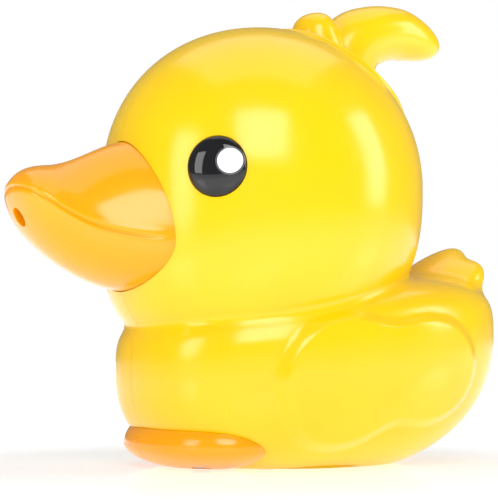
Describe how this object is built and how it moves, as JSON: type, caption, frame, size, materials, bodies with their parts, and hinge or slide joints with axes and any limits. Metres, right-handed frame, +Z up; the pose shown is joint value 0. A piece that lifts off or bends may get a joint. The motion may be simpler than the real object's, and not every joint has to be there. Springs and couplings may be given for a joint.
{
  "type": "floating chlorine dispenser",
  "caption": "Duck-shaped floating sanitiser dispenser with a twist-off crested filler lid, tablet chute and basket, and an adjustable vent dial in its base.",
  "frame": {"origin": "middle of the bounding box, on the plane that the feet and base stand on", "axes": "+Z up; the duck faces -X, its left side faces -Y, its tail points to +X"},
  "size_m": [0.1808, 0.113, 0.1665],
  "materials": {
    "shell_yellow": "polished injection-moulded ABS",
    "trim_orange": "polished injection-moulded ABS",
    "eye_black": "high-gloss black dome with a printed white dot",
    "inner_white": "satin natural polypropylene",
    "basket_grey": "satin grey polypropylene",
    "steel": "passivated stainless steel",
    "ballast_iron": "epoxy-coated cast iron",
    "silicone": "translucent silicone rubber"
  },
  "bodies": {
    "hull": {"left_shell": "shell_yellow", "right_shell": "shell_yellow", "beak": "trim_orange", "left_foot": "trim_orange", "right_foot": "trim_orange", "left_foot_screw": "steel", "right_foot_screw": "steel", "left_eye": "eye_black", "right_eye": "eye_black", "left_eye_clip": "steel", "right_eye_clip": "steel", "lid_gasket": "silicone", "filler_collar": "inner_white", "chute": "inner_white", "tablet_well": "inner_white", "tablet_basket": "basket_grey", "ballast_ring": "ballast_iron", "vent_tube": "silicone", "base_plate": "shell_yellow", "dial_screw": "steel", "base_gasket": "silicone", "base_screw_1": "steel", "base_screw_2": "steel", "base_screw_3": "steel", "base_screw_4": "steel", "shell_screw_1": "steel", "shell_screw_2": "steel", "shell_screw_3": "steel", "shell_screw_4": "steel", "shell_screw_5": "steel"},
    "lid_assembly": {"lid": "shell_yellow", "crest": "shell_yellow", "crest_screw_1": "steel", "crest_screw_2": "steel"},
    "dial": {"vent_dial": "trim_orange"}
  },
  "joints": [
    {"name": "lid_turn", "type": "hinge", "parent": "hull", "child": "lid_assembly", "pos_m": [0.00335, 0, 0.0965], "axis": [0.6018, 0, 0.7986], "range_deg": [0, 40]},
    {"name": "dial_turn", "type": "hinge", "parent": "hull", "child": "dial", "pos_m": [0.01335, 0, 0.0018], "axis": [0, 0, 1], "range_deg": [0, 45]}
  ]
}
